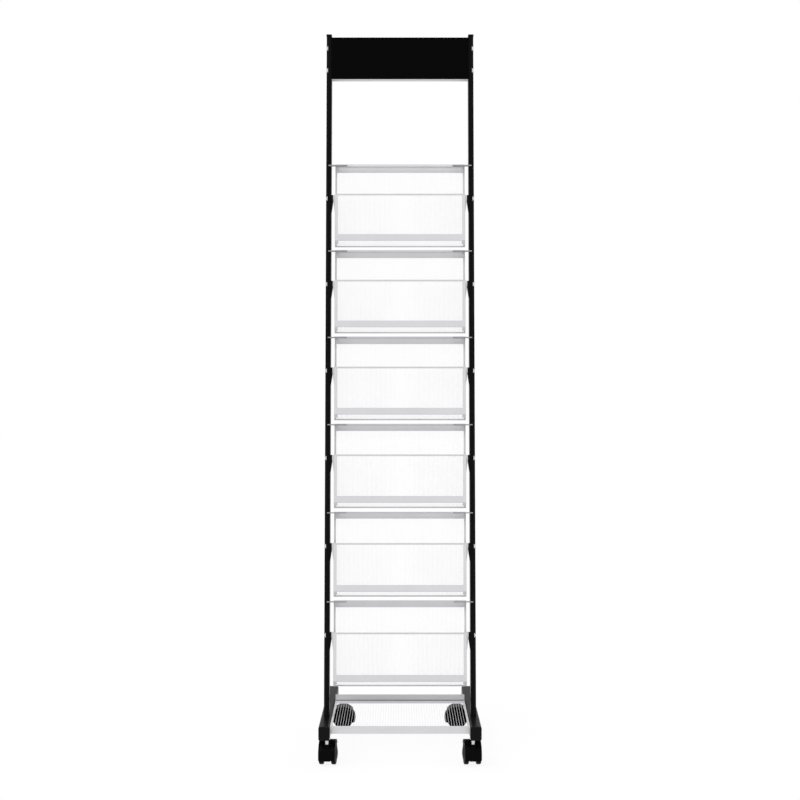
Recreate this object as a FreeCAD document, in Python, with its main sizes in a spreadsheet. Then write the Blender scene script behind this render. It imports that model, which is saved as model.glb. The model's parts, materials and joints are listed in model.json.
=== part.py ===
"""Mobile brochure stand: two leaning posts on castor feet, six slim mesh trays, a header and a base shelf.

Units are millimetres. X runs across the stand, Y runs from the front to the back and Z is up.
The origin is on the floor, midway between the two feet and midway along them.
"""
import FreeCAD, Part
import math
import os
from types import SimpleNamespace

Vector = FreeCAD.Vector
Placement = FreeCAD.Placement
Rotation = FreeCAD.Rotation

doc = FreeCAD.newDocument("brochure_stand")

# Driving dimensions
SIZES = {
    # Feet and posts
    "foot_length": 400.0,
    "foot_width": 25.0,
    "foot_height": 31.0,
    "foot_corner": 4.0,
    "foot_wall": 1.5,
    "foot_bottom": 65.5,
    "foot_cap_reach": 14.0,
    "foot_cap_face": 3.0,
    "foot_cap_round": 2.0,
    "post_width": 13.0,
    "post_depth": 30.0,
    "post_corner": 1.8,
    "post_inner_corner": 0.6,
    "post_rebate_width": 4.0,
    "post_rebate_depth": 13.0,
    "post_wall": 1.5,
    "post_length": 1595.0,
    "post_setback": 89.0,
    "post_lean": 4.0,
    "post_cap_reach": 16.0,
    "post_cap_face": 3.0,
    "plug_clearance": 0.2,
    # Trays
    "tray_first_height": 183.6,
    "tray_top_space": 300.0,
    "tray_pitch": 204.0,
    "tray_width": 306.0,
    "tray_gap": 9.0,
    "tray_sheet": 1.2,
    "tray_bend": 0.6,
    "tray_plate_corner": 4.0,
    "tray_rise": 79.4,
    "tray_flange_front": 2.0,
    "tray_flange_bar": 5.0,
    "tray_flange_root": 2.5,
    "tray_flange_end": 7.0,
    "tray_back_top": 15.0,
    "tray_back_foot": 9.0,
    "tray_drop": 118.2,
    "tray_front_reach": 9.0,
    "tray_front_drop": 102.8,
    "tray_front_rise": 7.2,
    "tray_top_band": 15.8,
    "tray_low_band": 14.5,
    "tray_front_stile": 7.0,
    "tray_front_hem": 3.0,
    "tray_back_stile": 3.0,
    "tray_back_sill": 5.0,
    "tray_side_front_drop": 13.0,
    "tray_side_back_rise": 16.0,
    "tray_edge_flange": 4.0,
    "tray_floor_front_rim": 1.5,
    "tray_floor_back_rim": 3.0,
    "tray_floor_end": 8.0,
    "lug_reach": 4.5,
    "lug_land": 10.0,
    "lug_drop": 40.0,
    "mesh_sheet": 0.8,
    "mesh_slots": 24.0,
    "mesh_slot_share": 0.55,
    "mesh_margin": 4.0,
    "ear_thickness": 2.4,
    "ear_inner": 124.0,
    "ear_overlap": 6.5,
    "ear_front": 4.0,
    "ear_back": 3.0,
    "ear_clearance": 0.3,
    # Spacers and screws
    "spacer_drop": 33.0,
    "spacer_foot": 0.8,
    "spacer_shoulder": 8.0,
    "spacer_front": 1.0,
    "spacer_depth": 11.0,
    "screw_setback": 6.5,
    "screw_radius": 2.5,
    "screw_head_radius": 5.4,
    "screw_head_height": 3.4,
    "screw_clearance": 0.1,
    "nut_radius": 4.0,
    "nut_height": 3.6,
    # Header
    "header_drop": 5.4,
    "header_height": 100.6,
    "header_depth": 16.0,
    "header_sheet": 1.2,
    "header_panel_thickness": 2.0,
    "header_screw_spacing": 53.4,
    "side_clearance": 0.2,
    # Base shelf
    "shelf_top": 94.5,
    "shelf_front_setback": 10.0,
    "shelf_depth": 246.0,
    "shelf_sheet": 1.2,
    "shelf_front_flange": 16.3,
    "shelf_side_flange": 14.0,
    "shelf_back_lip": 14.3,
    "shelf_side_border": 4.0,
    "shelf_front_border": 4.0,
    "shelf_back_border": 28.0,
    "shelf_screw_reach": 4.0,
    "shelf_slots": 28.0,
    "shelf_screw_inset": 40.0,
    # Castors
    "stem_end_inset": 28.0,
    "stem_inward": 5.0,
    "stem_radius": 4.0,
    "stem_thread_reach": 22.0,
    "stem_collar_radius": 7.5,
    "stem_collar_height": 4.0,
    "stem_pintle_reach": 37.5,
    "castor_trail": 21.0,
    "castor_front_turn": 3.0,
    "castor_rear_turn": 90.0,
    "wheel_radius": 25.0,
    "wheel_width": 13.4,
    "wheel_edge": 2.5,
    "wheel_rim": 5.0,
    "wheel_bulge": 3.0,
    "wheel_cap": 2.0,
    "axle_end_gap": 0.5,
    "pintle_end_gap": 0.5,
    "hood_bore_depth": 26.5,
    "axle_radius": 3.0,
    "axle_clearance": 0.05,
    "pintle_clearance": 0.05,
    "hood_web": 16.6,
    "hood_gap": 0.3,
    "hood_running_gap": 1.2,
    "hood_shell": 4.4,
    "hood_bottom": 13.0,
    "hood_boss_radius": 6.5,
    "hood_boss_top": 50.0,
    "hood_rear_angle": 40.0,
    "hood_front_angle": 200.0,
    "overrun": 5.0,
}

sheet = doc.addObject("Spreadsheet::Sheet", "Sizes")
for row, (alias, number) in enumerate(SIZES.items(), start=1):
    sheet.set(f"A{row}", alias)
    sheet.set(f"B{row}", repr(number))
    sheet.setAlias(f"B{row}", alias)
doc.recompute()
size = SimpleNamespace(**{alias: float(sheet.get(alias)) for alias in SIZES})

# Places worked out from the driving dimensions
foot_top = size.foot_bottom + size.foot_height
foot_x = size.tray_width / 2 + size.tray_gap + size.post_width / 2
foot_inner = foot_x - size.foot_width / 2
post_inner = foot_x - size.post_width / 2
post_outer = foot_x + size.post_width / 2
head_seat = post_outer - size.post_rebate_width
post_front = -size.foot_length / 2 + size.post_setback
tray_half = size.tray_width / 2
lean = math.radians(size.post_lean)
header_bottom = size.post_length - size.header_drop - size.header_height
tray_room = size.post_length - size.tray_first_height - size.tray_top_space
tray_count = int(tray_room / size.tray_pitch) + 1
post_frame = Placement(Vector(0, post_front, foot_top), Rotation(Vector(1, 0, 0), -size.post_lean))
shelf_front = -size.foot_length / 2 + size.shelf_front_setback
SIDES = {"left": -1, "right": 1}
POST_CORNERS = 6
ACROSS = "2 * (Sizes.tray_width + Sizes.post_width + Sizes.tray_gap)"
nodes = {}


def bind(item, **formulas):
    """Tie properties of a document object to cells of the sheet."""
    for name, formula in formulas.items():
        item.setExpression(name, formula)


def keep(item, label):
    """List an object as a finished sub-part under its own label."""
    item.Label = label
    nodes[label] = item
    return item


def new_body(name, place=Placement()):
    body = doc.addObject("PartDesign::Body", name)
    body.Placement = place
    return body


def sketch_on(body, role, name, offset=0.0):
    """A sketch on one of the body's own origin planes, moved along the plane's normal."""
    sketch = body.newObject("Sketcher::SketchObject", name)
    plane = next(item for item in body.Origin.OriginFeatures if item.Role == role)
    sketch.AttachmentSupport = [(plane, "")]
    sketch.MapMode = "FlatFace"
    sketch.AttachmentOffset = Placement(Vector(0, 0, offset), Rotation())
    return sketch


def add_polygon(sketch, points):
    for start, end in zip(points, points[1:] + points[:1]):
        sketch.addGeometry(Part.LineSegment(Vector(*start, 0), Vector(*end, 0)))


def add_rectangle(sketch, left, bottom, right, top):
    add_polygon(sketch, [(left, bottom), (right, bottom), (right, top), (left, top)])


def add_rounded_rectangle(sketch, centre, width, height, radius):
    """A rectangle with four equal corner arcs."""
    cx, cy = centre
    dx = width / 2 - radius
    dy = height / 2 - radius
    quarter = math.pi / 2
    for turn, (sx, sy) in enumerate(((1, 1), (-1, 1), (-1, -1), (1, -1))):
        middle = Vector(cx + sx * dx, cy + sy * dy, 0)
        circle = Part.Circle(middle, Vector(0, 0, 1), radius)
        sketch.addGeometry(Part.ArcOfCircle(circle, turn * quarter, (turn + 1) * quarter))
    add_line = lambda start, end: sketch.addGeometry(Part.LineSegment(Vector(*start, 0), Vector(*end, 0)))
    add_line((cx + dx, cy + height / 2), (cx - dx, cy + height / 2))
    add_line((cx - width / 2, cy + dy), (cx - width / 2, cy - dy))
    add_line((cx - dx, cy - height / 2), (cx + dx, cy - height / 2))
    add_line((cx + width / 2, cy - dy), (cx + width / 2, cy + dy))


def add_rounded_polygon(sketch, corners, radii):
    """A closed outline in which each corner with a radius is replaced by an arc."""
    points = [Vector(x, y, 0) for x, y in corners]
    count = len(points)
    ends = []
    for index, (here, radius) in enumerate(zip(points, radii)):
        before = (points[index - 1] - here).normalize()
        after = (points[(index + 1) % count] - here).normalize()
        if radius == 0:
            ends.append((here, here))
            continue
        half_angle = before.getAngle(after) / 2
        run = radius / math.tan(half_angle)
        inwards = Vector(before + after).normalize()
        middle = here + inwards * (radius / math.sin(half_angle) - radius)
        sketch.addGeometry(Part.Arc(here + before * run, middle, here + after * run))
        ends.append((here + before * run, here + after * run))
    for (_, start), (end, _) in zip(ends, ends[1:] + ends[:1]):
        sketch.addGeometry(Part.LineSegment(start, end))


def add_circle(sketch, x, y, radius):
    sketch.addGeometry(Part.Circle(Vector(x, y, 0), Vector(0, 0, 1), radius))


def pad(body, sketch, length, both_ways=False):
    feature = body.newObject("PartDesign::Pad", sketch.Name + "_pad")
    feature.Profile = sketch
    feature.Midplane = both_ways
    bind(feature, Length=length)
    sketch.Visibility = False
    doc.recompute()
    return feature


def pocket(body, sketch, length, both_ways=False, reverse=False):
    """Cut a profile, and stop if the cut takes nothing away."""
    before = body.Shape.Volume
    feature = body.newObject("PartDesign::Pocket", sketch.Name + "_cut")
    feature.Profile = sketch
    feature.Midplane = both_ways
    feature.Reversed = reverse
    bind(feature, Length=length)
    doc.recompute()
    if body.Shape.Volume >= before:
        raise RuntimeError(f"{feature.Name} cuts nothing")
    return feature


def revolve(body, sketch, axis):
    feature = body.newObject("PartDesign::Revolution", sketch.Name + "_turn")
    feature.Profile = sketch
    feature.ReferenceAxis = (sketch, [axis])
    feature.Angle = 360.0
    doc.recompute()
    return feature


def repeat(label, master, places):
    """One node that holds the same piece at several places."""
    return group_of(label, placed(master, places))


def placed(master, places):
    """Copies of a finished piece, one at each place."""
    copies = []
    for place in places:
        copy = master.Shape.copy()
        copy.Placement = place.multiply(copy.Placement)
        copies.append(copy)
    return copies


def group_of(label, shapes):
    group = doc.addObject("Part::Feature", label)
    group.Shape = Part.makeCompound(shapes)
    return keep(group, label)


def mitred(points, thickness):
    """Points of a folded strip: the outer path, then its offset to the right, back to the start."""
    normals = []
    for (y0, z0), (y1, z1) in zip(points, points[1:]):
        run = math.hypot(y1 - y0, z1 - z0)
        normals.append(((z1 - z0) / run, -(y1 - y0) / run))
    inner = []
    for index, (y, z) in enumerate(points):
        first = normals[max(index - 1, 0)]
        second = normals[min(index, len(normals) - 1)]
        share = thickness / (1 + first[0] * second[0] + first[1] * second[1])
        inner.append((y + (first[0] + second[0]) * share, z + (first[1] + second[1]) * share))
    return points + inner[::-1]


# Feet: rounded rectangular tube, with a hole under each castor stem
def make_foot(side_name, side):
    body = new_body("foot_" + side_name, Placement(Vector(side * foot_x, 0, size.foot_bottom), Rotation()))
    section = sketch_on(body, "XZ_Plane", "foot_section_" + side_name)
    centre = (0, size.foot_height / 2)
    wall = 2 * size.foot_wall
    add_rounded_rectangle(section, centre, size.foot_width, size.foot_height, size.foot_corner)
    add_rounded_rectangle(section, centre, size.foot_width - wall, size.foot_height - wall,
                          size.foot_corner - size.foot_wall)
    pad(body, section, "Sizes.foot_length", both_ways=True)
    holes = sketch_on(body, "XY_Plane", "foot_holes_" + side_name)
    reach = size.foot_length / 2 - size.stem_end_inset
    for end in (-1, 1):
        add_circle(holes, -side * size.stem_inward, end * reach, size.stem_radius + size.screw_clearance)
    pocket(body, holes, "2 * (Sizes.foot_wall + Sizes.screw_clearance)", both_ways=True)
    screw_holes = sketch_on(body, "YZ_Plane", "foot_screw_holes_" + side_name, -side * size.foot_width / 2)
    for y in shelf_screw_setbacks():
        add_circle(screw_holes, shelf_front + y, shelf_screw_height() - size.foot_bottom,
                   size.screw_radius + size.screw_clearance)
    pocket(body, screw_holes, "2 * (Sizes.foot_wall + Sizes.screw_clearance)", both_ways=True)
    return keep(body, "foot_" + side_name)


def shelf_screw_setbacks():
    return [size.shelf_screw_inset, size.shelf_depth - size.shelf_screw_inset]


def shelf_screw_height():
    return size.shelf_top - size.shelf_side_flange / 2


for side_name, side in SIDES.items():
    make_foot(side_name, side)


# End caps for the feet: a face with rounded edges and a plug inside the tube
def make_foot_caps():
    body = new_body("foot_cap_master")
    face = sketch_on(body, "XZ_Plane", "foot_cap_face")
    centre = (0, size.foot_height / 2)
    add_rounded_rectangle(face, centre, size.foot_width, size.foot_height, size.foot_corner)
    front = pad(body, face, "Sizes.foot_cap_face")
    plug = sketch_on(body, "XZ_Plane", "foot_cap_plug")
    slack = 2 * (size.foot_wall + size.plug_clearance)
    add_rounded_rectangle(plug, centre, size.foot_width - slack, size.foot_height - slack,
                          size.foot_corner - size.foot_wall)
    insert = pad(body, plug, "Sizes.foot_cap_reach")
    insert.Reversed = True
    doc.recompute()
    outline = [f"Edge{n}" for n, edge in enumerate(body.Shape.Edges, start=1)
               if abs(edge.BoundBox.YMin - body.Shape.BoundBox.YMin) < size.plug_clearance
               and edge.BoundBox.YLength < size.plug_clearance]
    fillet = body.newObject("PartDesign::Fillet", "foot_cap_rounding")
    fillet.Base = (insert, outline)
    bind(fillet, Radius="Sizes.foot_cap_round")
    doc.recompute()
    places = []
    for side in SIDES.values():
        places.append(Placement(Vector(side * foot_x, -size.foot_length / 2, size.foot_bottom), Rotation()))
        places.append(Placement(Vector(side * foot_x, size.foot_length / 2, size.foot_bottom),
                                Rotation(Vector(0, 0, 1), 180)))
    return repeat("foot_end_caps", body, places)


make_foot_caps()


# Posts: leaning tube with a rebate for the screw heads, cut level on the foot and drilled for the screws
def post_outline(side, inset):
    """Corners of a post's section, or of the space inside it, on one side of the stand."""
    near = post_inner + inset
    far = post_outer - inset
    front = inset
    back = size.post_depth - inset
    step_x = far - size.post_rebate_width
    step_y = front + size.post_rebate_depth
    corners = [(near, front), (step_x, front), (step_x, step_y), (far, step_y), (far, back), (near, back)]
    return [(side * x, y) for x, y in corners]


def make_post(side_name, side):
    body = new_body("post_" + side_name, post_frame)
    section = sketch_on(body, "XY_Plane", "post_section_" + side_name)
    add_rounded_polygon(section, post_outline(side, 0), [size.post_corner] * POST_CORNERS)
    add_rounded_polygon(section, post_outline(side, size.post_wall), [size.post_inner_corner] * POST_CORNERS)
    pad(body, section, "Sizes.post_length")
    level = sketch_on(body, "YZ_Plane", "post_level_" + side_name)
    far = size.post_depth + size.overrun
    add_polygon(level, [(0, 0), (far, 0), (far, far * math.tan(lean))])
    pocket(body, level, ACROSS, both_ways=True)
    holes = sketch_on(body, "YZ_Plane", "post_holes_" + side_name)
    radius = size.screw_radius + size.screw_clearance
    for index in range(tray_count):
        add_circle(holes, size.screw_setback, size.tray_first_height + index * size.tray_pitch, radius)
    for level in header_screw_levels():
        add_circle(holes, size.screw_setback, level, radius)
    pocket(body, holes, ACROSS, both_ways=True)
    return keep(body, "post_" + side_name)


def header_screw_levels():
    middle = header_bottom + size.header_height / 2
    return [middle - size.header_screw_spacing / 2, middle + size.header_screw_spacing / 2]


for side_name, side in SIDES.items():
    make_post(side_name, side)


# Caps on the post tops
def make_post_cap(side_name, side):
    body = new_body(f"post_cap_{side_name}_master")
    face = sketch_on(body, "XY_Plane", f"post_cap_{side_name}_face")
    corners = [(post_inner, 0), (post_outer, 0), (post_outer, size.post_depth), (post_inner, size.post_depth)]
    add_rounded_polygon(face, [(side * x, y) for x, y in corners], [size.post_corner] * len(corners))
    pad(body, face, "Sizes.post_cap_face")
    plug = sketch_on(body, "XY_Plane", f"post_cap_{side_name}_plug")
    inset = size.post_wall + size.plug_clearance
    add_rounded_polygon(plug, post_outline(side, inset), [size.post_inner_corner] * POST_CORNERS)
    insert = pad(body, plug, "Sizes.post_cap_reach")
    insert.Reversed = True
    doc.recompute()
    return placed(body, [post_frame.multiply(Placement(Vector(0, 0, size.post_length), Rotation()))])


group_of("post_caps", [cap for side_name, side in SIDES.items() for cap in make_post_cap(side_name, side)])


# Trays: one folded sheet with windows for the mesh and a plate at each end
def tray_levels():
    """Screw level of each tray along the post, the top tray first."""
    return [size.tray_first_height + index * size.tray_pitch for index in reversed(range(tray_count))]


def tray_back(level):
    """Setback of the back panel's outer face at a level of the tray."""
    share = (level + size.tray_drop) / (size.tray_rise + size.tray_drop)
    return size.tray_back_foot + share * (size.tray_back_top - size.tray_back_foot)


def front_window():
    """Left, bottom, right and top of the front panel's window."""
    half = tray_half - size.tray_front_stile
    bottom = -size.tray_front_drop + size.tray_low_band
    return -half, bottom, half, size.tray_front_rise - size.tray_front_hem


def back_window():
    half = tray_half - size.tray_sheet - size.tray_back_stile
    bottom = -size.tray_drop + size.tray_back_sill
    return -half, bottom, half, size.tray_rise - size.tray_top_band


def floor_window_box():
    """Left, front, right and back of the window in the sloping floor strip."""
    half = tray_half - size.tray_floor_end
    depth = size.tray_front_reach + size.tray_back_foot
    level_share = depth / math.hypot(depth, size.tray_drop - size.tray_front_drop)
    front_edge = -size.tray_front_reach + size.tray_floor_front_rim * level_share
    return -half, front_edge, half, size.tray_back_foot - size.tray_floor_back_rim * level_share


def flange_window():
    """Left, front, right and back of the slot between the top flange's front bar and the back panel."""
    half = tray_half - size.tray_flange_end
    front_edge = -size.tray_flange_front + size.tray_flange_bar
    return -half, front_edge, half, size.tray_back_top - size.tray_sheet - size.tray_flange_root


def make_tray(index, place):
    label = f"tray_{index}"
    body = new_body(label, place)
    profile = sketch_on(body, "YZ_Plane", label + "_profile")
    front = -size.tray_front_reach
    path = [(-size.tray_flange_front, size.tray_rise), (size.tray_back_top, size.tray_rise),
            (size.tray_back_foot, -size.tray_drop), (front, -size.tray_front_drop), (front, size.tray_front_rise)]
    outer_bend = size.tray_bend + size.tray_sheet
    bends = [0, outer_bend, outer_bend, outer_bend, 0]
    inner_bends = [0, size.tray_bend, size.tray_bend, size.tray_bend, 0]
    add_rounded_polygon(profile, mitred(path, size.tray_sheet), bends + inner_bends)
    pad(body, profile, "Sizes.tray_width", both_ways=True)
    edge = size.tray_edge_flange
    plate = [path[2], path[3], (front, -size.tray_side_front_drop),
             (tray_back(size.tray_side_back_rise) - edge, size.tray_side_back_rise),
             (size.tray_back_top - edge, size.tray_rise), path[1]]
    for side_name, start in (("left", -tray_half), ("right", tray_half - size.tray_sheet)):
        end_plate = sketch_on(body, "YZ_Plane", f"{label}_{side_name}_plate", start)
        add_rounded_polygon(end_plate, plate, [outer_bend, outer_bend, size.tray_plate_corner, size.tray_plate_corner,
                                               0, outer_bend])
        pad(body, end_plate, "Sizes.tray_sheet")
    for side_name, side in SIDES.items():
        lug = sketch_on(body, "XZ_Plane", f"{label}_{side_name}_lug", -size.spacer_front)
        outer = tray_half + size.lug_reach
        corners = [(tray_half, size.tray_front_rise), (outer, size.tray_front_rise),
                   (outer, size.tray_front_rise - size.lug_land), (tray_half, -size.lug_drop)]
        add_polygon(lug, [(side * x, z) for x, z in corners])
        lug_pad = pad(body, lug, "Sizes.spacer_depth")
        lug_pad.Reversed = True
    floor_window = sketch_on(body, "XY_Plane", label + "_floor_window", -size.tray_drop - size.overrun)
    left, front_edge, right, back_edge = floor_window_box()
    add_rectangle(floor_window, left, front_edge, right, back_edge)
    pocket(body, floor_window, "Sizes.tray_drop - Sizes.tray_front_drop + 2 * Sizes.overrun", reverse=True)
    slot = sketch_on(body, "XY_Plane", label + "_flange_slot", size.tray_rise)
    add_rectangle(slot, *flange_window())
    pocket(body, slot, "Sizes.tray_sheet + Sizes.overrun")
    windows = sketch_on(body, "XZ_Plane", label + "_front_window")
    add_rectangle(windows, *front_window())
    pocket(body, windows, "Sizes.tray_front_reach + Sizes.overrun", reverse=True)
    windows = sketch_on(body, "XZ_Plane", label + "_back_window")
    add_rectangle(windows, *back_window())
    pocket(body, windows, "Sizes.tray_back_top + Sizes.overrun")
    holes = sketch_on(body, "YZ_Plane", label + "_holes")
    add_circle(holes, size.screw_setback, 0, size.screw_radius + size.screw_clearance)
    pocket(body, holes, ACROSS, both_ways=True)
    return keep(body, label)


def slotted_sheet(label, place, rectangle, thickness, slots):
    """A flat mesh sheet that fills a window, opened by a row of upright slots."""
    left, bottom, right, top = rectangle
    body = new_body(label, place)
    outline = sketch_on(body, "XZ_Plane", label + "_outline")
    add_rectangle(outline, left, bottom, right, top)
    pitch = (right - left - 2 * size.mesh_margin) / slots
    half_slot = pitch * size.mesh_slot_share / 2
    for index in range(slots):
        middle = left + size.mesh_margin + (index + 0.5) * pitch
        add_rectangle(outline, middle - half_slot, bottom + size.mesh_margin, middle + half_slot,
                      top - size.mesh_margin)
    pad(body, outline, thickness, both_ways=True)
    return keep(body, label)


def make_tray_mesh(index, place):
    slots = int(size.mesh_slots)
    front_y = -size.tray_front_reach + size.tray_sheet / 2
    front_place = place.multiply(Placement(Vector(0, front_y, 0), Rotation()))
    slotted_sheet(f"tray_{index}_front_mesh", front_place, front_window(), "Sizes.mesh_sheet", slots)
    left, bottom, right, top = back_window()
    slope = math.atan2(size.tray_back_top - size.tray_back_foot, size.tray_rise + size.tray_drop)
    middle = (bottom + top) / 2
    half_height = (top - bottom) / 2 / math.cos(slope) - size.mesh_sheet * math.tan(slope)
    centre = Vector(0, tray_back(middle) - size.tray_sheet / 2 / math.cos(slope), middle)
    back_place = place.multiply(Placement(centre, Rotation(Vector(1, 0, 0), -math.degrees(slope))))
    rectangle = (left, -half_height, right, half_height)
    slotted_sheet(f"tray_{index}_back_mesh", back_place, rectangle, "Sizes.mesh_sheet", slots)
    left, front_edge, right, back_edge = floor_window_box()
    fall = math.atan2(size.tray_drop - size.tray_front_drop, size.tray_front_reach + size.tray_back_foot)
    half_depth = (back_edge - front_edge) / 2 / math.cos(fall) - size.mesh_sheet * math.tan(fall)
    seat = size.tray_sheet / 2 / math.cos(fall)
    middle_y = (front_edge + back_edge) / 2
    share = (middle_y + size.tray_front_reach) / (size.tray_front_reach + size.tray_back_foot)
    middle_z = -size.tray_front_drop - share * (size.tray_drop - size.tray_front_drop) + seat
    floor_turn = Rotation(Vector(1, 0, 0), -90 - math.degrees(fall))
    floor_place = place.multiply(Placement(Vector(0, middle_y, middle_z), floor_turn))
    floor_rectangle = (left, -half_depth, right, half_depth)
    slotted_sheet(f"tray_{index}_floor_mesh", floor_place, floor_rectangle, "Sizes.mesh_sheet", slots)


for index, level in enumerate(tray_levels(), start=1):
    tray_place = post_frame.multiply(Placement(Vector(0, 0, level), Rotation()))
    make_tray(index, tray_place)
    make_tray_mesh(index, tray_place)


# Ears: flat straps under the top flange, whose ends rest on the post fronts
def make_ears():
    shapes = []
    for side_name, side in SIDES.items():
        body = new_body(f"ear_{side_name}_master")
        outline = sketch_on(body, "XY_Plane", f"ear_{side_name}_outline")
        inside = post_inner - size.ear_clearance
        end = post_inner + size.ear_overlap
        corners = [(size.ear_inner, -size.ear_front), (end, -size.ear_front), (end, -size.ear_clearance),
                   (inside, -size.ear_clearance), (inside, size.ear_back), (size.ear_inner, size.ear_back)]
        add_polygon(outline, [(side * x, y) for x, y in corners])
        pad(body, outline, "Sizes.ear_thickness")
        seat = size.tray_rise - size.tray_sheet - size.ear_thickness
        for level in tray_levels():
            place = post_frame.multiply(Placement(Vector(0, 0, level + seat), Rotation()))
            shapes.extend(placed(body, [place]))
    return group_of("tray_ears", shapes)


make_ears()


# Spacers between post and tray: full width at the screw, tapering away below it
def make_spacers(side_name, side):
    body = new_body(f"spacer_{side_name}_master")
    front = sketch_on(body, "XZ_Plane", f"spacer_{side_name}_front", -size.spacer_front)
    top = size.tray_front_rise
    lug_face = tray_half + size.lug_reach
    corners = [(post_inner, top), (lug_face, top), (lug_face, -size.spacer_shoulder),
               (post_inner - size.spacer_foot, -size.spacer_drop), (post_inner, -size.spacer_drop)]
    add_polygon(front, [(side * x, z) for x, z in corners])
    block = pad(body, front, "Sizes.spacer_depth")
    block.Reversed = True
    doc.recompute()
    hole = sketch_on(body, "YZ_Plane", f"spacer_{side_name}_hole")
    add_circle(hole, size.screw_setback, 0, size.screw_radius + size.screw_clearance)
    pocket(body, hole, ACROSS, both_ways=True)
    places = [post_frame.multiply(Placement(Vector(0, 0, level), Rotation())) for level in tray_levels()]
    return body, places


spacer_shapes = []
for side_name, side in SIDES.items():
    master, places = make_spacers(side_name, side)
    spacer_shapes.extend(placed(master, places))
group_of("tray_spacers", spacer_shapes)


# Screws: a domed head outside the post and a plain shank, with its axis along X
def make_screw(name, shank_length):
    """A screw whose head sits on the plane x = 0 and whose shank points to -X."""
    body = new_body(name)
    half = sketch_on(body, "XZ_Plane", name + "_half")
    head = size.screw_head_radius
    height = size.screw_head_height
    dome_radius = (head * head + height * height) / (2 * height)
    centre = Vector(height - dome_radius, 0, 0)
    angle = math.asin(head / dome_radius)
    half.addGeometry(Part.ArcOfCircle(Part.Circle(centre, Vector(0, 0, 1), dome_radius), 0, angle))
    corners = [(0, head), (0, size.screw_radius), (-shank_length, size.screw_radius), (-shank_length, 0), (height, 0)]
    for start, end in zip(corners, corners[1:]):
        half.addGeometry(Part.LineSegment(Vector(*start, 0), Vector(*end, 0)))
    revolve(body, half, "H_Axis")
    return body


def facing(side, x, y, z):
    """Place a screw or nut so that its head faces outwards on one side of the stand."""
    turn = Rotation() if side > 0 else Rotation(Vector(0, 0, 1), 180)
    return Placement(Vector(side * x, y, z), turn)


def on_posts(x, y, levels):
    return [post_frame.multiply(facing(side, x, y, level)) for side in SIDES.values() for level in levels]


grip = head_seat - tray_half + size.tray_sheet
tray_screw = make_screw("tray_screw_master", grip + size.nut_height)
repeat("tray_screws", tray_screw, on_posts(head_seat, size.screw_setback, tray_levels()))
header_half = post_inner - size.side_clearance
header_grip = head_seat - header_half + size.header_sheet
header_screw = make_screw("header_screw_master", header_grip + size.nut_height)
repeat("header_screws", header_screw, on_posts(head_seat, size.screw_setback, header_screw_levels()))


# Nuts inside the trays and the header
def make_nut():
    body = new_body("nut_master")
    hexagon = sketch_on(body, "YZ_Plane", "nut_outline")
    corners = [math.radians(60 * turn) for turn in range(6)]
    add_polygon(hexagon, [(size.nut_radius * math.cos(a), size.nut_radius * math.sin(a)) for a in corners])
    add_circle(hexagon, 0, 0, size.screw_radius + size.screw_clearance)
    nut = pad(body, hexagon, "Sizes.nut_height")
    nut.Reversed = True
    doc.recompute()
    return body


nut = make_nut()
nut_places = on_posts(tray_half - size.tray_sheet, size.screw_setback, tray_levels())
nut_places += on_posts(header_half - size.header_sheet, size.screw_setback, header_screw_levels())
repeat("nuts", nut, nut_places)


# Header: a folded channel open at the back, faced by a plain panel
def make_header():
    place = post_frame.multiply(Placement(Vector(0, 0, header_bottom), Rotation()))
    channel = new_body("header_channel", place)
    outline = sketch_on(channel, "XZ_Plane", "header_channel_outline")
    add_rectangle(outline, -header_half, 0, header_half, size.header_height)
    block = pad(channel, outline, "Sizes.header_depth")
    block.Reversed = True
    doc.recompute()
    hollow = sketch_on(channel, "XZ_Plane", "header_channel_hollow", -size.header_sheet)
    wall = size.header_sheet
    add_rectangle(hollow, -header_half + wall, wall, header_half - wall, size.header_height - wall)
    pocket(channel, hollow, "Sizes.header_depth")
    holes = sketch_on(channel, "YZ_Plane", "header_channel_holes")
    for level in header_screw_levels():
        add_circle(holes, size.screw_setback, level - header_bottom,
                   size.screw_radius + size.screw_clearance)
    pocket(channel, holes, ACROSS, both_ways=True)
    keep(channel, "header_channel")
    panel = new_body("header_panel", place)
    face = sketch_on(panel, "XZ_Plane", "header_panel_outline")
    add_rectangle(face, -header_half, 0, header_half, size.header_height)
    pad(panel, face, "Sizes.header_panel_thickness")
    keep(panel, "header_panel")


make_header()


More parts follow.
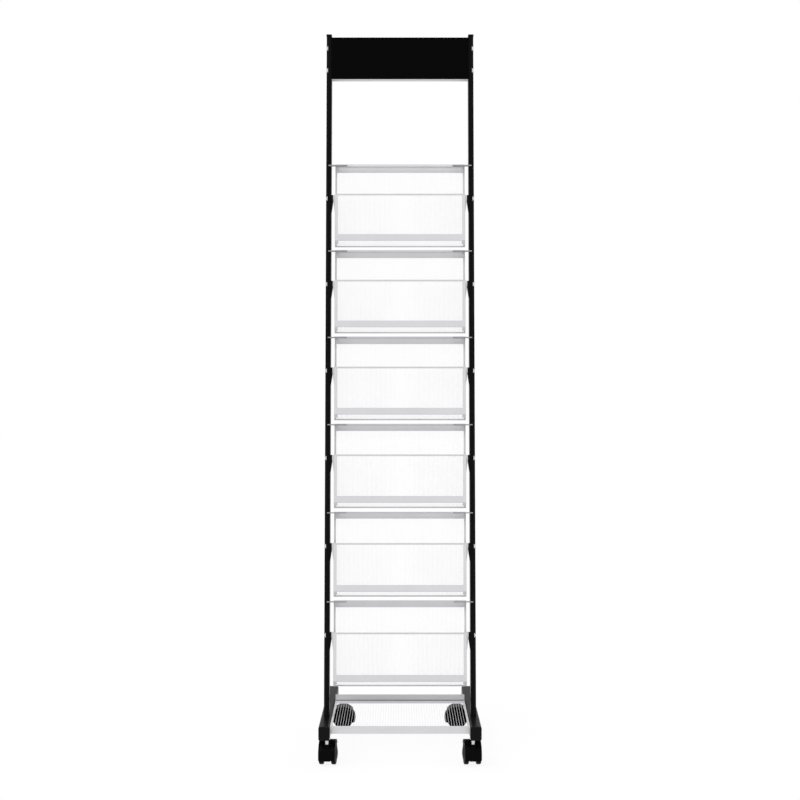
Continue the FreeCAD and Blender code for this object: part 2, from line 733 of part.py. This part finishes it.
# Base shelf between the feet: bordered deck, front and side flanges turned down, back lip turned up
def make_shelf():
    half = foot_inner - size.side_clearance
    place = Placement(Vector(0, shelf_front, size.shelf_top), Rotation())
    body = new_body("base_shelf", place)
    deck = sketch_on(body, "XY_Plane", "shelf_deck")
    add_rectangle(deck, -half, 0, half, size.shelf_depth)
    deck_pad = pad(body, deck, "Sizes.shelf_sheet")
    deck_pad.Reversed = True
    flange = sketch_on(body, "XZ_Plane", "shelf_front_flange")
    add_rectangle(flange, -half, -size.shelf_front_flange, half, 0)
    front_pad = pad(body, flange, "Sizes.shelf_sheet")
    front_pad.Reversed = True
    lip = sketch_on(body, "XZ_Plane", "shelf_back_lip", -size.shelf_depth)
    add_rectangle(lip, -half, -size.shelf_sheet, half, size.shelf_back_lip)
    pad(body, lip, "Sizes.shelf_sheet")
    for side_name, start in (("left", -half), ("right", half - size.shelf_sheet)):
        side_flange = sketch_on(body, "YZ_Plane", f"shelf_{side_name}_flange", start)
        add_rectangle(side_flange, 0, -size.shelf_side_flange, size.shelf_depth, 0)
        pad(body, side_flange, "Sizes.shelf_sheet")
    side = size.shelf_side_border
    window = sketch_on(body, "XY_Plane", "shelf_window")
    opening = (side - half, size.shelf_front_border, half - side, size.shelf_depth - size.shelf_back_border)
    add_rectangle(window, *opening)
    pocket(body, window, "2 * Sizes.overrun", both_ways=True)
    holes = sketch_on(body, "YZ_Plane", "shelf_holes")
    for y in shelf_screw_setbacks():
        add_circle(holes, y, -size.shelf_side_flange / 2, size.screw_radius + size.screw_clearance)
    pocket(body, holes, ACROSS, both_ways=True)
    keep(body, "base_shelf")
    mesh_place = Placement(Vector(0, shelf_front, size.shelf_top - size.shelf_sheet / 2),
                           Rotation(Vector(1, 0, 0), -90))
    slotted_sheet("base_shelf_mesh", mesh_place, opening, "Sizes.mesh_sheet", int(size.shelf_slots))
    reach = size.shelf_sheet + size.side_clearance + size.shelf_screw_reach
    screw = make_screw("shelf_screw_master", reach)
    places = []
    for side in SIDES.values():
        for y in shelf_screw_setbacks():
            places.append(facing(-side, size.shelf_sheet - half, shelf_front + y, shelf_screw_height()))
    repeat("base_shelf_screws", screw, places)


make_shelf()


# Castors: threaded stem, swivelling hood, axle and two wheels
def make_castor(name, stem_x, stem_y, swivel):
    """One castor whose wheels trail from the stem in the direction given by the swivel angle."""
    place = Placement(Vector(stem_x, stem_y, 0), Rotation(Vector(0, 0, 1), swivel))
    make_stem(name, place)
    make_hood(name, place)
    make_axle(name, place)
    for side_name, side in SIDES.items():
        make_wheel(f"{name}_wheel_{side_name}", side, place)


def make_stem(name, place):
    """Turned stem: thread inside the foot, collar under it and a pintle inside the hood."""
    body = new_body(name + "_stem", place)
    half = sketch_on(body, "XZ_Plane", name + "_stem_half")
    collar_bottom = size.foot_bottom - size.stem_collar_height
    bottom = collar_bottom - size.stem_pintle_reach
    radius = size.stem_radius
    collar = size.stem_collar_radius
    top = size.foot_bottom + size.stem_thread_reach
    add_polygon(half, [(0, bottom), (radius, bottom), (radius, collar_bottom), (collar, collar_bottom),
                       (collar, size.foot_bottom), (radius, size.foot_bottom), (radius, top), (0, top)])
    revolve(body, half, "V_Axis")
    keep(body, name + "_stem")


def add_sector(sketch, centre, inner, outer, start, stop):
    """A ring sector, from one angle round to another."""
    up = Vector(0, 0, 1)
    sketch.addGeometry(Part.ArcOfCircle(Part.Circle(centre, up, outer), start, stop))
    sketch.addGeometry(Part.ArcOfCircle(Part.Circle(centre, up, inner), start, stop))
    for angle in (start, stop):
        ray = Vector(math.cos(angle), math.sin(angle), 0)
        sketch.addGeometry(Part.LineSegment(centre + ray * inner, centre + ray * outer))


def make_hood(name, place):
    """Moulded hood: a web between the wheels, a curved shell over both and a boss for the stem."""
    body = new_body(name + "_hood", place)
    inner = size.wheel_radius + size.hood_running_gap
    outer = inner + size.hood_shell
    axle = Vector(size.castor_trail, size.wheel_radius, 0)
    shell = sketch_on(body, "YZ_Plane", name + "_hood_shell")
    add_sector(shell, axle, inner, outer, math.radians(size.hood_rear_angle), math.radians(size.hood_front_angle))
    pad(body, shell, "Sizes.hood_web + 2 * (Sizes.hood_gap + Sizes.wheel_width - Sizes.wheel_bulge)", both_ways=True)
    web = sketch_on(body, "YZ_Plane", name + "_hood_web")
    low = math.asin((size.wheel_radius - size.hood_bottom) / outer)
    reach = outer * math.cos(low)
    web.addGeometry(Part.ArcOfCircle(Part.Circle(axle, Vector(0, 0, 1), outer), -low, math.pi + low))
    web.addGeometry(Part.LineSegment(Vector(axle.x - reach, size.hood_bottom, 0),
                                     Vector(axle.x + reach, size.hood_bottom, 0)))
    pad(body, web, "Sizes.hood_web", both_ways=True)
    boss = sketch_on(body, "XY_Plane", name + "_hood_boss", size.wheel_radius)
    add_circle(boss, 0, 0, size.hood_boss_radius)
    pad(body, boss, "Sizes.hood_boss_top - Sizes.wheel_radius")
    bore = sketch_on(body, "XY_Plane", name + "_hood_bore", size.hood_boss_top + size.overrun)
    add_circle(bore, 0, 0, size.stem_radius + size.pintle_clearance)
    pocket(body, bore, "Sizes.hood_bore_depth + Sizes.overrun")
    hole = sketch_on(body, "YZ_Plane", name + "_hood_axle_hole")
    add_circle(hole, axle.x, axle.y, size.axle_radius)
    pocket(body, hole, "2 * Sizes.hood_web", both_ways=True)
    return keep(body, name + "_hood")


def make_axle(name, place):
    body = new_body(name + "_axle", place)
    section = sketch_on(body, "YZ_Plane", name + "_axle_section")
    add_circle(section, size.castor_trail, size.wheel_radius, size.axle_radius)
    length = "Sizes.hood_web + 2 * (Sizes.hood_gap + Sizes.wheel_width - Sizes.wheel_cap - Sizes.axle_end_gap)"
    pad(body, section, length, both_ways=True)
    return keep(body, name + "_axle")


def make_wheel(label, side, place):
    """Turned wheel with a rounded tread, a bulging hub cap and a blind bore."""
    start = Vector(side * (size.hood_web / 2 + size.hood_gap), size.castor_trail, size.wheel_radius)
    turn = Rotation() if side > 0 else Rotation(Vector(0, 0, 1), 180)
    body = new_body(label, place.multiply(Placement(start, turn)))
    half = sketch_on(body, "XY_Plane", label + "_half")
    bore = size.axle_radius + size.axle_clearance
    radius = size.wheel_radius
    width = size.wheel_width
    edge = size.wheel_edge
    side_face = width - size.wheel_bulge
    cap_radius = radius - size.wheel_rim
    depth = width - size.wheel_cap
    corner = edge * (1 - math.sqrt(0.5))
    line = lambda a, b: half.addGeometry(Part.LineSegment(Vector(*a, 0), Vector(*b, 0)))
    arc = lambda a, b, c: half.addGeometry(Part.Arc(Vector(*a, 0), Vector(*b, 0), Vector(*c, 0)))
    line((0, bore), (0, radius - edge))
    arc((0, radius - edge), (corner, radius - corner), (edge, radius))
    line((edge, radius), (side_face - edge, radius))
    arc((side_face - edge, radius), (side_face - corner, radius - corner), (side_face, radius - edge))
    line((side_face, radius - edge), (side_face, cap_radius))
    dome = (cap_radius * cap_radius + size.wheel_bulge * size.wheel_bulge) / (2 * size.wheel_bulge)
    tilt = math.asin(cap_radius / dome) / 2
    arc((side_face, cap_radius), (width - dome + dome * math.cos(tilt), dome * math.sin(tilt)), (width, 0))
    line((width, 0), (depth, 0))
    line((depth, 0), (depth, bore))
    line((depth, bore), (0, bore))
    revolve(body, half, "H_Axis")
    return keep(body, label)


stem_reach = size.foot_length / 2 - size.stem_end_inset
for side_name, side in SIDES.items():
    stem_x = side * (foot_x - size.stem_inward)
    make_castor(f"castor_front_{side_name}", stem_x, -stem_reach, side * size.castor_front_turn)
    make_castor(f"castor_rear_{side_name}", stem_x, stem_reach, side * size.castor_rear_turn)

# Check every sub-part, then write it out
doc.recompute()
faults = [item.Name for item in doc.Objects if "Invalid" in item.State or "Error" in item.State]
for label, item in nodes.items():
    if item.Shape.isNull() or not item.Shape.isValid():
        faults.append(label)
if faults:
    raise RuntimeError("faulty objects: " + ", ".join(faults))
os.makedirs("parts", exist_ok=True)
for label, item in nodes.items():
    item.Shape.exportStep(f"parts/{label}.step")
print(len(nodes), "sub-parts written")
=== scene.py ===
"""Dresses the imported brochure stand: coated posts and trays, wire mesh, zinc screws and soft light."""
import json
import math

import bpy
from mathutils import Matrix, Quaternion, Vector


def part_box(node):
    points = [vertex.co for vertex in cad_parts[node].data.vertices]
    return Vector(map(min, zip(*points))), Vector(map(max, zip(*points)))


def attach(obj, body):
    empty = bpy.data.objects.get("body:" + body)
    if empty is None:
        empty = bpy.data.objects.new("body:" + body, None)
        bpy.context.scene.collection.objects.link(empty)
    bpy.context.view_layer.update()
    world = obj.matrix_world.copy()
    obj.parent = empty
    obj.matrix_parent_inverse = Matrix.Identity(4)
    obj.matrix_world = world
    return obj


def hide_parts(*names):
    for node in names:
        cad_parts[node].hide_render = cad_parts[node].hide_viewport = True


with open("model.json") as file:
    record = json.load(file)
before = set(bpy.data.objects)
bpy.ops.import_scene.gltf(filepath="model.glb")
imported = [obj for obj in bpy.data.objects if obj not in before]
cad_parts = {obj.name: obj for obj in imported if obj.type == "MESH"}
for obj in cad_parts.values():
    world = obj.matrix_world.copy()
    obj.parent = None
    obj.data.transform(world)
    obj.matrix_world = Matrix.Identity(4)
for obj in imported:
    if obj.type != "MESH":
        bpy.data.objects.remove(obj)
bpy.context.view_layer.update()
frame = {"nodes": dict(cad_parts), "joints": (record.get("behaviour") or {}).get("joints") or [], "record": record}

# Camera and page, fitted to the photograph
IMAGE_PIXELS = 800
FOCAL_PIXELS = 1240
HORIZON_DROP_PIXELS = 6.9
SENSOR_MM = 36
CAMERA_PLACE = (0, -2.947, 0.805)

# Light: the room for surfaces, the page for camera and gloss, and a soft sun from the front left
WHITE = (1, 1, 1, 1)
ROOM_STRENGTH = 0.78
PAGE_STRENGTH = 1
SUN_ENERGY = 1.3
SUN_SPREAD = math.radians(40)
SUN_TURN = (math.radians(36), 0, math.radians(-25))

# Floor: its colour, and the share of page white that camera and gloss see there
FLOOR_SIZE = 60
FLOOR_COLOUR = (0.95, 0.95, 0.95, 1)
FLOOR_ROUGHNESS = 0.9
FLOOR_GLOW = 0.9

# Patterns in the finishes: scales of the drift in colour and sheen and of the grain, and the grain's depth
COAT_DRIFT = 14
COAT_SHEEN = 40
COAT_GRAIN = 900
MOULDED_GRAIN = 600
COAT_DEPTH = 0.00008
ZINC_DRIFT = 160
ZINC_SHEEN = 220
ZINC_GRAIN = 1500
ZINC_DEPTH = 0.00003
ZINC_SPREAD = 0.06
ZINC_ROUGHNESS = (0.22, 0.38)
NOISE_DETAIL = 3
DRIFT_STOPS = (0.3, 0.7)
BUMP_STRENGTH = 0.35

# Lean of the posts, slopes of a tray's panels against them, and the tilts of the mesh sheets that follow
LEAN = math.radians(4)
BACK_SLOPE = math.atan2(6, 197.6)
FLOOR_FALL = math.atan2(15.4, 18)
FRONT_TILT = math.pi / 2 - LEAN
TILTS = {"front": FRONT_TILT, "back": FRONT_TILT - BACK_SLOPE, "floor": -FLOOR_FALL - LEAN}
TRAY_COUNT = 6
TRAYS = range(1, TRAY_COUNT + 1)

# Mesh: distance between wires and the wires' thickness, fine in the trays and coarser in the base shelf
TRAY_MESH = (0.00295, 0.0005)
SHELF_MESH = (0.0059, 0.0009)

# Rolled top edge of a tray's front panel: radius, rise above the mesh and reach past its sides
HEM_RADIUS = 0.0013
HEM_RISE = 0.0026
HEM_REACH = 0.0067

# Black rod in the corner of the base shelf's back lip: painted shade that stands in for the shadow line where the
# lip meets the deck
SHADOW_LINE_RADIUS = 0.0011
LIP_SHEET = 0.0012
DECK_LEVEL = 0.0945

# Rods for hems and for the painted-shade rod: sides, and how far their ends are rounded, as a share of the radius
ROD_SIDES = 16
ROD_END = 0.6
ROD_END_STEPS = 3

# Castor wheel: tread, bore, distance of its inner face from the hood's middle, and the hub's insets and rises
WHEEL_SIDES = 64
WHEEL_RADIUS = 0.025
TREAD_WIDTH = 0.0104
TREAD_ROUND = 0.0025
TREAD_STEPS = 5
WHEEL_START = 0.0086
BORE_RADIUS = 0.00305
BORE_DEPTH = 0.0114
HUB_STEPS = ((0.0025, 0), (0.0006, -0.0006), (0.0007, 0), (0.0006, 0.0009), (0.0042, 0.0012),
             (0.0045, 0.0009), (0.0032, 0.0004), (0.0005, -0.0005), (0.0003, 0))

# Domed screws: head, shank, cross recess, and the width under which slivers from cutting it are merged
HEAD_SIDES = 32
HEAD_RADIUS = 0.0054
HEAD_HEIGHT = 0.0034
SHANK_RADIUS = 0.0025
RECESS_WIDTH = 0.0012
RECESS_REACH = 0.0052
RECESS_DEPTH = 0.0017
SLIVER = 0.000002

# Groups of screws: levels, shank length and the way the heads face, outwards or inwards
OUTWARDS = 1
INWARDS = -1
SCREWS = {"tray_screws": (TRAY_COUNT, 0.0228, OUTWARDS), "header_screws": (2, 0.014, OUTWARDS),
          "base_shelf_screws": (2, 0.0054, INWARDS)}

# Share of a face's normal along an axis from which the face counts as facing that way
FACING = 0.9

# Angle between faces up to which an edge is shaded smooth
SMOOTH_ANGLE = math.radians(35)


def deselect_all():
    """Leave edit mode with nothing selected."""
    if bpy.context.object and bpy.context.object.mode != "OBJECT":
        bpy.ops.object.mode_set(mode="OBJECT")
    bpy.ops.object.select_all(action="DESELECT")


def pick(piece):
    """Make one piece the active one and the only one selected."""
    deselect_all()
    piece.select_set(True)
    bpy.context.view_layer.objects.active = piece


def pick_faces(piece, wanted):
    """Select only the faces that pass a test, and go to edit mode."""
    pick(piece)
    bpy.ops.object.mode_set(mode="EDIT")
    bpy.ops.mesh.select_mode(type="FACE")
    bpy.ops.mesh.select_all(action="DESELECT")
    bpy.ops.object.mode_set(mode="OBJECT")
    for face in piece.data.polygons:
        face.select = wanted(face)
    bpy.ops.object.mode_set(mode="EDIT")


def pick_all_faces(piece):
    """Select every face, in edit mode."""
    pick(piece)
    bpy.ops.object.mode_set(mode="EDIT")
    bpy.ops.mesh.select_all(action="SELECT")


def smooth(piece):
    """Shade round faces smooth and keep sharp edges."""
    pick(piece)
    bpy.ops.object.shade_smooth_by_angle(angle=SMOOTH_ANGLE)


def bake_place(piece, place, turn):
    """Put a piece at its place and keep that place in its mesh."""
    pick(piece)
    piece.location = place
    piece.rotation_mode = "QUATERNION"
    piece.rotation_quaternion = turn
    bpy.ops.object.transform_apply(location=True, rotation=True, scale=True)


def copy_of(pattern, name):
    """A copy with its own mesh."""
    piece = pattern.copy()
    piece.data = pattern.data.copy()
    piece.name = name
    bpy.context.collection.objects.link(piece)
    return piece


def new_material(name):
    """A new material, its nodes and its shader."""
    material = bpy.data.materials.new(name)
    material.use_nodes = True
    tree = material.node_tree
    return material, tree, tree.nodes["Principled BSDF"]


def grain(tree, scale):
    """Noise on the piece's own coordinates."""
    place = tree.nodes.new("ShaderNodeTexCoord")
    noise = tree.nodes.new("ShaderNodeTexNoise")
    noise.inputs["Scale"].default_value = scale
    noise.inputs["Detail"].default_value = NOISE_DETAIL
    tree.links.new(place.outputs["Object"], noise.inputs["Vector"])
    return noise


def vary_colour(tree, shader, colour, spread, scale):
    """Let the colour drift a little over the surface."""
    noise = grain(tree, scale)
    ramp = tree.nodes.new("ShaderNodeValToRGB")
    shades = (1 - spread, 1 + spread)
    for stop, position, shade in zip(ramp.color_ramp.elements, DRIFT_STOPS, shades):
        stop.position = position
        stop.color = [channel * shade for channel in colour] + [1]
    tree.links.new(noise.outputs["Fac"], ramp.inputs["Fac"])
    tree.links.new(ramp.outputs["Color"], shader.inputs["Base Color"])


def vary_roughness(tree, shader, low, high, scale):
    """Let the roughness drift between two values."""
    noise = grain(tree, scale)
    band = tree.nodes.new("ShaderNodeMapRange")
    band.inputs["To Min"].default_value = low
    band.inputs["To Max"].default_value = high
    tree.links.new(noise.outputs["Fac"], band.inputs["Value"])
    tree.links.new(band.outputs["Result"], shader.inputs["Roughness"])


def roughen(tree, shader, scale, depth):
    """A fine bump, such as powder coat or moulded plastic has."""
    noise = grain(tree, scale)
    bump = tree.nodes.new("ShaderNodeBump")
    bump.inputs["Strength"].default_value = BUMP_STRENGTH
    bump.inputs["Distance"].default_value = depth
    tree.links.new(noise.outputs["Fac"], bump.inputs["Height"])
    tree.links.new(bump.outputs["Normal"], shader.inputs["Normal"])


def coated(name, colour, spread=0.04, roughness=(0.4, 0.55), grain_scale=COAT_GRAIN, gloss=0.5):
    """Powder coat on steel, or a moulded skin."""
    material, tree, shader = new_material(name)
    shader.inputs["Specular IOR Level"].default_value = gloss
    vary_colour(tree, shader, colour, spread, COAT_DRIFT)
    vary_roughness(tree, shader, *roughness, COAT_SHEEN)
    roughen(tree, shader, grain_scale, COAT_DEPTH)
    return material


def plated(name, colour):
    """Bright zinc on a turned or pressed piece."""
    material, tree, shader = new_material(name)
    shader.inputs["Metallic"].default_value = 1
    vary_colour(tree, shader, colour, ZINC_SPREAD, ZINC_DRIFT)
    vary_roughness(tree, shader, *ZINC_ROUGHNESS, ZINC_SHEEN)
    roughen(tree, shader, ZINC_GRAIN, ZINC_DEPTH)
    return material


# One finish for each material slot of the record
FINISH = {
    "black_tube": coated("satin_black_coat", (0.005, 0.005, 0.0054), roughness=(0.25, 0.35), gloss=0.015),
    "black_cap": coated("black_moulding", (0.0045, 0.0045, 0.0045), grain_scale=MOULDED_GRAIN, gloss=0.06),
    "header_panel": coated("header_black", (0.0014, 0.0014, 0.0015), roughness=(0.35, 0.45), gloss=0.015),
    "mesh": coated("silver_mesh_coat", (0.86, 0.86, 0.87), roughness=(0.6, 0.7), gloss=0.1),
    "grey_sheet": coated("light_grey_coat", (0.58, 0.58, 0.595), spread=0.02, gloss=0.3),
    "strap": coated("strap_grey_coat", (0.24, 0.24, 0.25), spread=0.03),
    "castor_hood": coated("castor_hood_nylon", (0.0022, 0.0022, 0.0022), roughness=(0.3, 0.42), gloss=0.025),
    "castor_wheel": coated("castor_tread_nylon", (0.0026, 0.0026, 0.0026), roughness=(0.3, 0.45), gloss=0.03),
    "zinc": plated("bright_zinc", (0.66, 0.66, 0.67)),
}


def dress_nodes():
    """Give every CAD node the finish of its slot."""
    slot_of = {row["node"]: row["material_slot"] for row in frame["record"]["subparts"]}
    for node, item in frame["nodes"].items():
        item.data.materials.clear()
        item.data.materials.append(FINISH[slot_of[node]])


def panel_size(node, tilt):
    """Width and height of a CAD mesh sheet along its own plane."""
    low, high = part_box(node)
    extent = high - low
    if abs(tilt) < math.pi / 4:
        return extent.x, extent.y / math.cos(tilt)
    return extent.x, extent.z / math.sin(tilt)


def wire_panel(name, width, height, pitch, wire):
    """A flat panel of close wires between edge wires, lying on the floor plane round the origin."""
    deselect_all()
    bpy.ops.mesh.primitive_grid_add(x_subdivisions=round(width / pitch), y_subdivisions=1, size=1)
    panel = bpy.context.object
    panel.name = name
    panel.scale = (width - wire, height - wire, 1)
    bpy.ops.object.transform_apply(location=False, rotation=False, scale=True)
    wires = panel.modifiers.new("wires", "WIREFRAME")
    wires.thickness = wire
    wires.use_boundary = True
    wires.use_even_offset = False
    bpy.ops.object.modifier_apply(modifier="wires")
    panel.data.materials.clear()
    panel.data.materials.append(FINISH["mesh"])
    return panel


def set_panel(pattern, name, node, tilt):
    """Put a copy of a wire panel where a CAD mesh sheet is."""
    low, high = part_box(node)
    panel = copy_of(pattern, name)
    bake_place(panel, (low + high) / 2, Quaternion((1, 0, 0), tilt))
    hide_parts(node)
    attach(panel, "frame")


def make_mesh_panels():
    """Wire panels in the windows of the trays and in the base shelf."""
    for face, tilt in TILTS.items():
        pattern = wire_panel(face + "_pattern", *panel_size(f"tray_1_{face}_mesh", tilt), *TRAY_MESH)
        for tray in TRAYS:
            set_panel(pattern, f"tray_{tray}_{face}_weave", f"tray_{tray}_{face}_mesh", tilt)
        bpy.data.objects.remove(pattern)
    pattern = wire_panel("deck_pattern", *panel_size("base_shelf_mesh", 0), *SHELF_MESH)
    set_panel(pattern, "base_shelf_weave", "base_shelf_mesh", 0)
    bpy.data.objects.remove(pattern)


def add_rod(name, length, radius, place, slot):
    """A thin rod along X with rounded ends."""
    deselect_all()
    bpy.ops.mesh.primitive_cylinder_add(vertices=ROD_SIDES, radius=radius, depth=length,
                                        rotation=(0, math.pi / 2, 0))
    rod = bpy.context.object
    rod.name = name
    bpy.ops.object.transform_apply(location=True, rotation=True, scale=True)
    pick_faces(rod, lambda face: abs(face.normal.x) > FACING)
    bpy.ops.mesh.bevel(offset=radius * ROD_END, segments=ROD_END_STEPS, affect="EDGES")
    smooth(rod)
    rod.data.materials.append(FINISH[slot])
    bake_place(rod, place, Quaternion())
    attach(rod, "frame")


def make_trim():
    """Rolled hems along the trays' front panels, and a black rod in the corner behind the base shelf as painted
    shade for the shadow line there.
    """
    up = Vector((0, math.sin(LEAN), math.cos(LEAN)))
    for tray in TRAYS:
        node = f"tray_{tray}_front_mesh"
        low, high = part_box(node)
        width, height = panel_size(node, FRONT_TILT)
        place = (low + high) / 2 + up * (height / 2 + HEM_RISE)
        add_rod(f"tray_{tray}_hem", width + 2 * HEM_REACH, HEM_RADIUS, place, "grey_sheet")
    # Painted shade: a black rod laid in the lip's corner, where only a shadow line falls
    low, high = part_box("base_shelf")
    place = Vector((0, high.y - LIP_SHEET, DECK_LEVEL))
    add_rod("base_shelf_shadow_line", high.x - low.x, SHADOW_LINE_RADIUS, place, "black_cap")


def shape_wheel():
    """Wheel with a rounded tread, a ring groove and a stepped hub, its axle on Z and its outer face up."""
    deselect_all()
    bpy.ops.mesh.primitive_cylinder_add(vertices=WHEEL_SIDES, radius=WHEEL_RADIUS, depth=TREAD_WIDTH,
                                        location=(0, 0, TREAD_WIDTH / 2))
    wheel = bpy.context.object
    bpy.ops.object.transform_apply(location=True, rotation=True, scale=True)
    pick_faces(wheel, lambda face: abs(face.normal.z) > FACING)
    bpy.ops.mesh.bevel(offset=TREAD_ROUND, segments=TREAD_STEPS, affect="EDGES")
    flat_radius = WHEEL_RADIUS - TREAD_ROUND
    pick_faces(wheel, lambda face: face.normal.z > FACING and face.area > flat_radius ** 2)
    for thickness, rise in HUB_STEPS:
        bpy.ops.mesh.inset(thickness=thickness, depth=rise)
    pick_faces(wheel, lambda face: face.normal.z < -FACING and face.area > flat_radius ** 2)
    bpy.ops.mesh.inset(thickness=flat_radius - BORE_RADIUS)
    bpy.ops.mesh.extrude_region_move(TRANSFORM_OT_translate={"value": (0, 0, BORE_DEPTH)})
    smooth(wheel)
    wheel.data.materials.append(FINISH["castor_wheel"])
    return wheel


def make_wheels():
    """A wheel on each rolling joint, with its hub facing away from the hood."""
    pattern = shape_wheel()
    for joint in frame["joints"]:
        if not joint["name"].endswith("_roll"):
            continue
        node = joint["name"].removesuffix("_roll")
        outward = Vector(joint["axis"]) * (1 if node.endswith("_right") else -1)
        wheel = copy_of(pattern, node + "_hubbed")
        bake_place(wheel, Vector(joint["pos_m"]) + outward * WHEEL_START, outward.to_track_quat("Z", "Y"))
        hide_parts(node)
        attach(wheel, joint["child"])
    bpy.data.objects.remove(pattern)


def cut_recess(screw, width, reach):
    """Cut one arm of the cross into a screw's head."""
    deselect_all()
    bpy.ops.mesh.primitive_cube_add(size=1, location=(0, 0, HEAD_HEIGHT))
    cutter = bpy.context.object
    cutter.scale = (width, reach, 2 * RECESS_DEPTH)
    cut = screw.modifiers.new("recess", "BOOLEAN")
    cut.object = cutter
    pick(screw)
    bpy.ops.object.modifier_apply(modifier="recess")
    bpy.data.objects.remove(cutter)


def shape_screw(shank_length):
    """Domed screw with a cross recess, its seat on the floor plane, its head up and its shank down."""
    deselect_all()
    dome = (HEAD_RADIUS ** 2 + HEAD_HEIGHT ** 2) / (2 * HEAD_HEIGHT)
    bpy.ops.mesh.primitive_uv_sphere_add(segments=HEAD_SIDES, ring_count=HEAD_SIDES, radius=dome,
                                         location=(0, 0, HEAD_HEIGHT - dome))
    screw = bpy.context.object
    bpy.ops.object.transform_apply(location=True, rotation=True, scale=True)
    pick_all_faces(screw)
    bpy.ops.mesh.bisect(plane_co=(0, 0, 0), plane_no=(0, 0, 1), use_fill=True, clear_inner=True)
    pick_faces(screw, lambda face: face.normal.z < -FACING)
    bpy.ops.mesh.inset(thickness=HEAD_RADIUS - SHANK_RADIUS)
    bpy.ops.mesh.extrude_region_move(TRANSFORM_OT_translate={"value": (0, 0, -shank_length)})
    cut_recess(screw, RECESS_REACH, RECESS_WIDTH)
    cut_recess(screw, RECESS_WIDTH, RECESS_REACH)
    pick_all_faces(screw)
    bpy.ops.mesh.remove_doubles(threshold=SLIVER)
    bpy.ops.mesh.dissolve_degenerate(threshold=SLIVER)
    smooth(screw)
    screw.data.materials.clear()
    screw.data.materials.append(FINISH["zinc"])
    return screw


def make_screws():
    """Each group of screws as one piece, at the levels of its CAD node."""
    for node, (levels, shank_length, way) in SCREWS.items():
        pattern = shape_screw(shank_length)
        low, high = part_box(node)
        first = Vector((0, low.y + HEAD_RADIUS, low.z + HEAD_RADIUS))
        last = Vector((0, high.y - HEAD_RADIUS, high.z - HEAD_RADIUS))
        seat = high.x - (HEAD_HEIGHT if way == OUTWARDS else shank_length)
        group = []
        for step in range(levels):
            for side in (-1, 1):
                screw = copy_of(pattern, f"{node}_{step}_{side}")
                place = first.lerp(last, step / (levels - 1))
                place.x = side * seat
                bake_place(screw, place, Vector((side * way, 0, 0)).to_track_quat("Z", "Y"))
                group.append(screw)
        bpy.data.objects.remove(pattern)
        piece = group[0]
        pick(piece)
        for screw in group:
            screw.select_set(True)
        bpy.ops.object.join()
        piece.name = node + "_crossed"
        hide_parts(node)
        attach(piece, "frame")


def seen_ray(tree):
    """1 for a ray that shows the room: straight to the camera, off gloss or through glass."""
    path = tree.nodes.new("ShaderNodeLightPath")
    either = path.outputs["Is Camera Ray"]
    for kind in ("Is Glossy Ray", "Is Transmission Ray"):
        larger = tree.nodes.new("ShaderNodeMath")
        larger.operation = "MAXIMUM"
        tree.links.new(either, larger.inputs[0])
        tree.links.new(path.outputs[kind], larger.inputs[1])
        either = larger.outputs[0]
    return either


def make_floor():
    """A pale floor that keeps a soft shadow and reads as white to the camera."""
    deselect_all()
    bpy.ops.mesh.primitive_plane_add(size=FLOOR_SIZE)
    floor = bpy.context.object
    floor.name = "floor"
    material, tree, shader = new_material("pale_floor")
    shader.inputs["Base Color"].default_value = FLOOR_COLOUR
    shader.inputs["Roughness"].default_value = FLOOR_ROUGHNESS
    light = tree.nodes.new("ShaderNodeEmission")
    light.inputs["Color"].default_value = WHITE
    share = tree.nodes.new("ShaderNodeMath")
    share.operation = "MULTIPLY"
    share.inputs[1].default_value = FLOOR_GLOW
    mix = tree.nodes.new("ShaderNodeMixShader")
    tree.links.new(seen_ray(tree), share.inputs[0])
    tree.links.new(share.outputs[0], mix.inputs["Fac"])
    tree.links.new(shader.outputs["BSDF"], mix.inputs[1])
    tree.links.new(light.outputs["Emission"], mix.inputs[2])
    tree.links.new(mix.outputs["Shader"], tree.nodes["Material Output"].inputs["Surface"])
    floor.data.materials.append(material)


def make_light():
    """An even white room, brighter to camera and gloss than to surfaces, and one soft sun."""
    world = bpy.data.worlds.new("white_room")
    bpy.context.scene.world = world
    world.use_nodes = True
    tree = world.node_tree
    room = tree.nodes["Background"]
    page = tree.nodes.new("ShaderNodeBackground")
    for background, strength in ((room, ROOM_STRENGTH), (page, PAGE_STRENGTH)):
        background.inputs["Color"].default_value = WHITE
        background.inputs["Strength"].default_value = strength
    mix = tree.nodes.new("ShaderNodeMixShader")
    tree.links.new(seen_ray(tree), mix.inputs["Fac"])
    tree.links.new(room.outputs["Background"], mix.inputs[1])
    tree.links.new(page.outputs["Background"], mix.inputs[2])
    tree.links.new(mix.outputs["Shader"], tree.nodes["World Output"].inputs["Surface"])
    sun = bpy.data.objects.new("soft_sun", bpy.data.lights.new("soft_sun", "SUN"))
    sun.data.energy = SUN_ENERGY
    sun.data.angle = SUN_SPREAD
    sun.rotation_euler = SUN_TURN
    bpy.context.collection.objects.link(sun)


def make_camera():
    """A level camera, shifted so that the horizon lies where the photograph has it."""
    camera = bpy.data.objects.new("camera", bpy.data.cameras.new("camera"))
    camera.data.sensor_fit = "HORIZONTAL"
    camera.data.sensor_width = SENSOR_MM
    camera.data.lens = SENSOR_MM * FOCAL_PIXELS / IMAGE_PIXELS
    camera.data.shift_y = HORIZON_DROP_PIXELS / IMAGE_PIXELS
    camera.location = CAMERA_PLACE
    camera.rotation_euler = (math.pi / 2, 0, 0)
    bpy.context.collection.objects.link(camera)
    bpy.context.scene.camera = camera


dress_nodes()
make_mesh_panels()
make_trim()
make_wheels()
make_screws()
make_floor()
make_light()
make_camera()
bpy.context.scene.view_settings.view_transform = "Standard"
